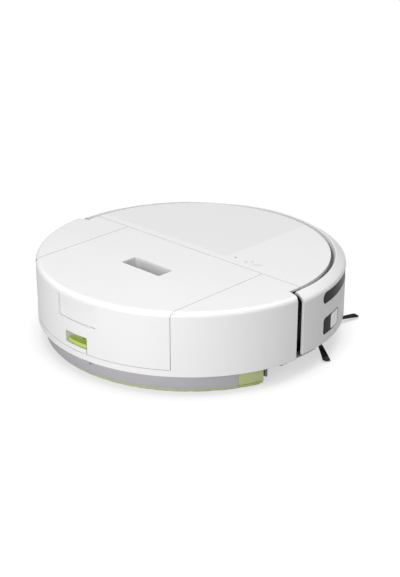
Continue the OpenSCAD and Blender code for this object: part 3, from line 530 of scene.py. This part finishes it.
def softened(node, radius, finish):
    """A merged copy of a CAD node with softened edges, which stands for the node."""
    source = frame["nodes"][node]

    def fill(bm):
        bm.from_mesh(source.data)
        bmesh.ops.remove_doubles(bm, verts=bm.verts, dist=0.000002)
        bmesh.ops.dissolve_limit(bm, angle_limit=math.radians(0.4), verts=bm.verts, edges=bm.edges,
                                 use_dissolve_boundaries=False, delimit={"NORMAL"})

    piece = add_piece(node + "_finish", fill, finish, body_with(node), (node,))
    # Faces in seams and gaps take the second material: painted shade where the gaps' shade falls
    if node in PAINTED_SEAM_NODES:
        piece.data.materials.append(FINISHES["seam"])
        bm = bmesh.new()
        bm.from_mesh(piece.data)
        bm.normal_update()
        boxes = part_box("bin_shell"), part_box("front_cover")
        for face in bm.faces:
            if in_seam(node, face, *boxes):
                face.material_index = 1
        bm.to_mesh(piece.data)
        bm.free()
    bevel = piece.modifiers.new("Soft edges", "BEVEL")
    bevel.width = radius * MM
    bevel.segments = 2
    bevel.limit_method = "ANGLE"
    bevel.angle_limit = SHARP_ANGLE
    bevel.use_clamp_overlap = True
    piece.data.set_sharp_from_angle(angle=SHARP_ANGLE)
    weighted = piece.modifiers.new("Flat faces", "WEIGHTED_NORMAL")
    weighted.keep_sharp = True
    return piece


# ---------------------------------------------------------------- operators


class VACUUM_OT_materials(bpy.types.Operator):
    """Builds the finishes and gives every CAD node its own"""

    bl_idname = "vacuum.materials"
    bl_label = "Finishes"

    def execute(self, context):
        FINISHES.update(finishes(context.scene.vacuum_finish))
        for finish, nodes in NODE_FINISH.items():
            for node in nodes:
                mesh = frame["nodes"][node].data
                mesh.materials.clear()
                mesh.materials.append(FINISHES[finish])
        return {"FINISHED"}


class VACUUM_OT_soft_edges(bpy.types.Operator):
    """Gives the moulded pieces the small edge radii that a mould leaves"""

    bl_idname = "vacuum.soft_edges"
    bl_label = "Soft edges"

    def execute(self, context):
        finish_of = {node: finish for finish, nodes in NODE_FINISH.items() for node in nodes}
        for node, radius in SOFT_EDGES.items():
            softened(node, radius, finish_of[node])
        return {"FINISHED"}


def strand_mesh(length, radius):
    """A straight tapered bristle along X, cut into short lengths so that it can bend."""
    mesh = bpy.data.meshes.new("strand")
    bm = bmesh.new()
    turn = Matrix.Translation((length / 2, 0, 0)) @ Matrix.Rotation(math.radians(90), 4, "Y")
    bmesh.ops.create_cone(bm, cap_ends=True, segments=5, radius1=radius, radius2=radius * 0.7,
                          depth=length, matrix=turn)
    for step in range(1, 6):
        bmesh.ops.bisect_plane(bm, geom=bm.verts[:] + bm.edges[:] + bm.faces[:],
                               plane_co=(length * step / 6, 0, 0), plane_no=(1, 0, 0))
    bm.to_mesh(mesh)
    bm.free()
    return mesh


def add_strand(bm, strand, length, place, droop, sway):
    """One bristle, bent down and sideways and put in its place."""
    before = len(bm.verts)
    bm.from_mesh(strand)
    bm.verts.ensure_lookup_table()
    verts = bm.verts[before:]
    for vert in verts:
        share = vert.co.x / length
        vert.co.z -= droop * share * share
        vert.co.y += sway * share * share
    bmesh.ops.transform(bm, matrix=place, verts=verts)


class VACUUM_OT_side_brush(bpy.types.Operator):
    """Makes the three bristle tufts of the side brush"""

    bl_idname = "vacuum.side_brush"
    bl_label = "Side brush"

    def execute(self, context):
        settings = context.scene.vacuum_brush
        rng = random.Random(11)
        hub = joint_place("side_brush_spin")
        root_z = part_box("side_brush_tufts")[1][2] - 1.3 * MM
        root, reach = 30 * MM, 73.8 * MM
        first = math.radians(142.4)
        length = reach - root
        strand = strand_mesh(length, settings.strand_radius)

        def fill(bm):
            for arm in range(3):
                angle = first + arm * ARM_STEP
                for _ in range(settings.strands):
                    across = rng.uniform(-1, 1)
                    side = across * settings.fan + rng.uniform(-0.01, 0.01)
                    start = (Matrix.Translation((hub.x, hub.y, root_z + rng.uniform(-0.8, 0.8) * MM))
                             @ Matrix.Rotation(angle, 4, "Z")
                             @ Matrix.Translation((root, across * 1.3 * MM, 0))
                             @ Matrix.Rotation(side, 4, "Z"))
                    shorter = Matrix.Diagonal((1 - rng.uniform(0, 0.04) - abs(across) * 0.02, 1, 1, 1))
                    add_strand(bm, strand, length, start @ shorter,
                               rng.uniform(3.2, 4.6) * MM, rng.uniform(-1, 1) * MM)
            for arm in range(3):
                clamp = (Matrix.Translation((hub.x, hub.y, root_z))
                         @ Matrix.Rotation(first + arm * ARM_STEP, 4, "Z"))
                made = bmesh.ops.create_cube(
                    bm, size=1, matrix=clamp @ Matrix.Translation((root + 1.6 * MM, 0, 0))
                    @ Matrix.Diagonal((3.4 * MM, 4.8 * MM, 2.4 * MM, 1)))
                edges = list({e for v in made["verts"] for e in v.link_edges})
                bmesh.ops.bevel(bm, geom=edges, offset=0.6 * MM, segments=2, affect="EDGES", profile=0.5,
                                material=-1)

        add_piece("side_brush_bristles", fill, "bristle", "side_brush", ("side_brush_tufts",))
        return {"FINISHED"}


class VACUUM_OT_main_brush(bpy.types.Operator):
    """Adds the rows of short bristles between the rubber blades of the main brush"""

    bl_idname = "vacuum.main_brush"
    bl_label = "Main brush bristles"

    def execute(self, context):
        settings = context.scene.vacuum_brush
        rng = random.Random(5)
        axis = joint_place("main_brush_spin")
        low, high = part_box("brush_blades")
        half = (high[0] - low[0]) / 2 - 3 * MM
        inner, outer = 7.6 * MM, (high[2] - low[2]) / 2 - 1.2 * MM

        def fill(bm):
            for row in range(6):
                for tuft in range(settings.row_tufts):
                    x = -half + 2 * half * (tuft + 0.5) / settings.row_tufts
                    angle = row * math.radians(60) + math.radians(30) + math.radians(60) * abs(x) / half
                    for hair in range(5):
                        lean = rng.uniform(-0.09, 0.09)
                        place = (Matrix.Translation((x + rng.uniform(-0.9, 0.9) * MM, axis.y, axis.z))
                                 @ Matrix.Rotation(angle + lean, 4, "X")
                                 @ Matrix.Translation((0, 0, (inner + outer) / 2)))
                        bmesh.ops.create_cone(bm, cap_ends=True, segments=4, radius1=0.32 * MM,
                                              radius2=0.22 * MM, depth=outer - inner, matrix=place)

        add_piece("brush_bristle_rows", fill, "brush_bristle", "main_brush", ())
        return {"FINISHED"}


class VACUUM_OT_mop_pad(bpy.types.Operator):
    """Makes the microfibre mop pad with its soft edge, sewn channels and looped pile"""

    bl_idname = "vacuum.mop_pad"
    bl_label = "Mop pad"

    def execute(self, context):
        low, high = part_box("mop_pad")
        radius = high[1]
        cell = 4 * MM
        edge_width, edge_drop = 5 * MM, 1.0 * MM
        channel_gap, channel_depth = 16 * MM, 0.35 * MM
        top, bottom = high[2], low[2] + 0.1 * MM

        def fill(bm):
            bmesh.ops.create_circle(bm, cap_ends=True, segments=160, radius=radius)
            bmesh.ops.bisect_plane(bm, geom=bm.verts[:] + bm.edges[:] + bm.faces[:],
                                   plane_co=(0, low[1], 0), plane_no=(0, -1, 0), clear_outer=True)
            steps = int((high[0] - low[0]) / cell)
            for step in range(1, steps):
                bmesh.ops.bisect_plane(bm, geom=bm.verts[:] + bm.edges[:] + bm.faces[:],
                                       plane_co=(low[0] + step * cell, 0, 0), plane_no=(1, 0, 0))
            for step in range(1, int((high[1] - low[1]) / cell)):
                bmesh.ops.bisect_plane(bm, geom=bm.verts[:] + bm.edges[:] + bm.faces[:],
                                       plane_co=(0, low[1] + step * cell, 0), plane_no=(0, 1, 0))
            upper = bmesh.ops.extrude_face_region(bm, geom=bm.faces[:], use_keep_orig=True)
            lifted = {g for g in upper["geom"] if isinstance(g, bmesh.types.BMVert)}
            for vert in bm.verts:
                from_rim = radius - Vector((vert.co.x, vert.co.y)).length
                from_front = vert.co.y - low[1]
                edge = min(1.0, max(0.0, min(from_rim, from_front)) / edge_width)
                round_off = (1 - edge) ** 2 * edge_drop
                quilt = channel_depth * (0.5 + 0.5 * math.cos(vert.co.x / channel_gap * 2 * math.pi)) ** 8
                vert.co.z = top - round_off * 0.5 if vert in lifted else bottom + round_off + quilt

        pad = add_piece("mop_pad_cloth", fill, "cloth", "tank", ("mop_pad",))
        return {"FINISHED"}


class VACUUM_OT_marks(bpy.types.Operator):
    """Puts the small marks in the grooves of the two buttons"""

    bl_idname = "vacuum.marks"
    bl_label = "Button marks"

    def execute(self, context):
        for name, body, radius in (("start_mark", "start_button", 2.8), ("home_mark", "home_button", 2.1)):
            place = middle(body)
            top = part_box(body)[1][2]

            def fill(bm, radius=radius, place=place, top=top):
                spot = Matrix.Translation((place.x, place.y, top - 0.16 * MM))
                ring = bmesh.ops.create_circle(bm, cap_ends=False, segments=6, radius=0.22 * MM,
                                               matrix=Matrix.Translation((radius * MM, 0, 0))
                                               @ Matrix.Rotation(math.radians(90), 4, "X"))
                edges = list({e for v in ring["verts"] for e in v.link_edges})
                bmesh.ops.spin(bm, geom=edges, cent=(0, 0, 0), axis=(0, 0, 1), angle=2 * math.pi,
                               steps=32, use_merge=True)
                bmesh.ops.transform(bm, matrix=spot, verts=bm.verts)

            add_piece(name, fill, "mark", body, ())
        return {"FINISHED"}


def soft_light(name, size, power, place, aim):
    """A square softbox that looks at a point."""
    data = bpy.data.lights.new(name, "AREA")
    data.shape = "SQUARE"
    data.size = size
    data.energy = power
    lamp = bpy.data.objects.new(name, data)
    lamp.location = place
    lamp.rotation_mode = "QUATERNION"
    lamp.rotation_quaternion = (Vector(aim) - Vector(place)).to_track_quat("-Z", "Y")
    bpy.context.scene.collection.objects.link(lamp)
    return lamp


class VACUUM_OT_stage(bpy.types.Operator):
    """Makes the pale floor, the softboxes, the white surroundings and the camera"""

    bl_idname = "vacuum.stage"
    bl_label = "Stage"

    def execute(self, context):
        scene = context.scene
        settings = scene.vacuum_stage
        mesh = bpy.data.meshes.new("floor")
        bm = bmesh.new()
        bmesh.ops.create_grid(bm, x_segments=2, y_segments=2, size=6)
        bm.to_mesh(mesh)
        bm.free()
        floor = bpy.data.objects.new("floor", mesh)
        scene.collection.objects.link(floor)
        mat, tree, shader = blank("Floor", (0.38, 0.38, 0.38), 0.9, Emission_Color=(1, 1, 1, 1))
        patches = noise(tree, object_point(tree), 3.0)
        tint(tree, shader, patches.outputs["Fac"], (0.375, 0.375, 0.375), (0.385, 0.385, 0.385))
        glow = tree.nodes.new("ShaderNodeMapRange")
        glow.inputs["To Min"].default_value = settings.floor_bounce
        glow.inputs["To Max"].default_value = settings.floor_glow
        path = tree.nodes.new("ShaderNodeLightPath")
        tree.links.new(path.outputs["Is Camera Ray"], glow.inputs["Value"])
        tree.links.new(glow.outputs["Result"], shader.inputs["Emission Strength"])
        mesh.materials.append(mat)

        soft_light("key", 0.7, settings.key_power, (-0.45, 1.33, 0.5), (0, 0, 0.05))
        sun = bpy.data.lights.new("top", "SUN")
        sun.energy = settings.sun
        sun.angle = math.radians(50)
        lamp = bpy.data.objects.new("top", sun)
        lamp.rotation_euler = (math.radians(6), 0, 0)
        scene.collection.objects.link(lamp)

        world = bpy.data.worlds.new("surroundings")
        scene.world = world
        world.use_nodes = True
        back = world.node_tree.nodes["Background"]
        back.inputs["Color"].default_value = (1, 1, 1, 1)
        back.inputs["Strength"].default_value = settings.fill
        scene.view_settings.view_transform = "Standard"

        azimuth, height = settings.azimuth, settings.elevation
        away = Vector((math.sin(azimuth) * math.cos(height), -math.cos(azimuth) * math.cos(height),
                       math.sin(height)))
        turn = (-away).to_track_quat("-Z", "Y")
        data = bpy.data.cameras.new("camera")
        data.lens = settings.lens
        data.sensor_width = 36
        data.clip_start, data.clip_end = 0.01, 100
        camera = bpy.data.objects.new("camera", data)
        camera.rotation_mode = "QUATERNION"
        camera.rotation_quaternion = turn
        camera.location = settings.place
        scene.collection.objects.link(camera)
        scene.camera = camera
        return {"FINISHED"}


class VACUUM_PT_panel(bpy.types.Panel):
    """The robot vacuum's operators and settings"""

    bl_label = "Robot vacuum"
    bl_idname = "VACUUM_PT_panel"
    bl_space_type = "VIEW_3D"
    bl_region_type = "UI"
    bl_category = "Vacuum"

    def draw(self, context):
        for operator in OPERATORS:
            self.layout.operator(operator.bl_idname)
        for group, names in (("vacuum_stage", ("key_power", "sun", "fill")),
                             ("vacuum_finish", ("white", "green")),
                             ("vacuum_brush", ("strands", "fan"))):
            for name in names:
                self.layout.prop(getattr(context.scene, group), name)


SETTINGS = (("vacuum_stage", StageSettings), ("vacuum_finish", FinishSettings),
            ("vacuum_brush", BrushSettings))
OPERATORS = (VACUUM_OT_stage, VACUUM_OT_materials, VACUUM_OT_soft_edges, VACUUM_OT_side_brush,
             VACUUM_OT_main_brush, VACUUM_OT_mop_pad, VACUUM_OT_marks)


def register():
    for name, group in SETTINGS:
        bpy.utils.register_class(group)
        setattr(bpy.types.Scene, name, PointerProperty(type=group))
    for cls in (*OPERATORS, VACUUM_PT_panel):
        bpy.utils.register_class(cls)


def unregister():
    for cls in (VACUUM_PT_panel, *reversed(OPERATORS)):
        bpy.utils.unregister_class(cls)
    for name, group in reversed(SETTINGS):
        delattr(bpy.types.Scene, name)
        bpy.utils.unregister_class(group)


def main():
    register()
    for operator in OPERATORS:
        section, name = operator.bl_idname.split(".")
        getattr(getattr(bpy.ops, section), name)()


if __name__ == "__main__":
    main()
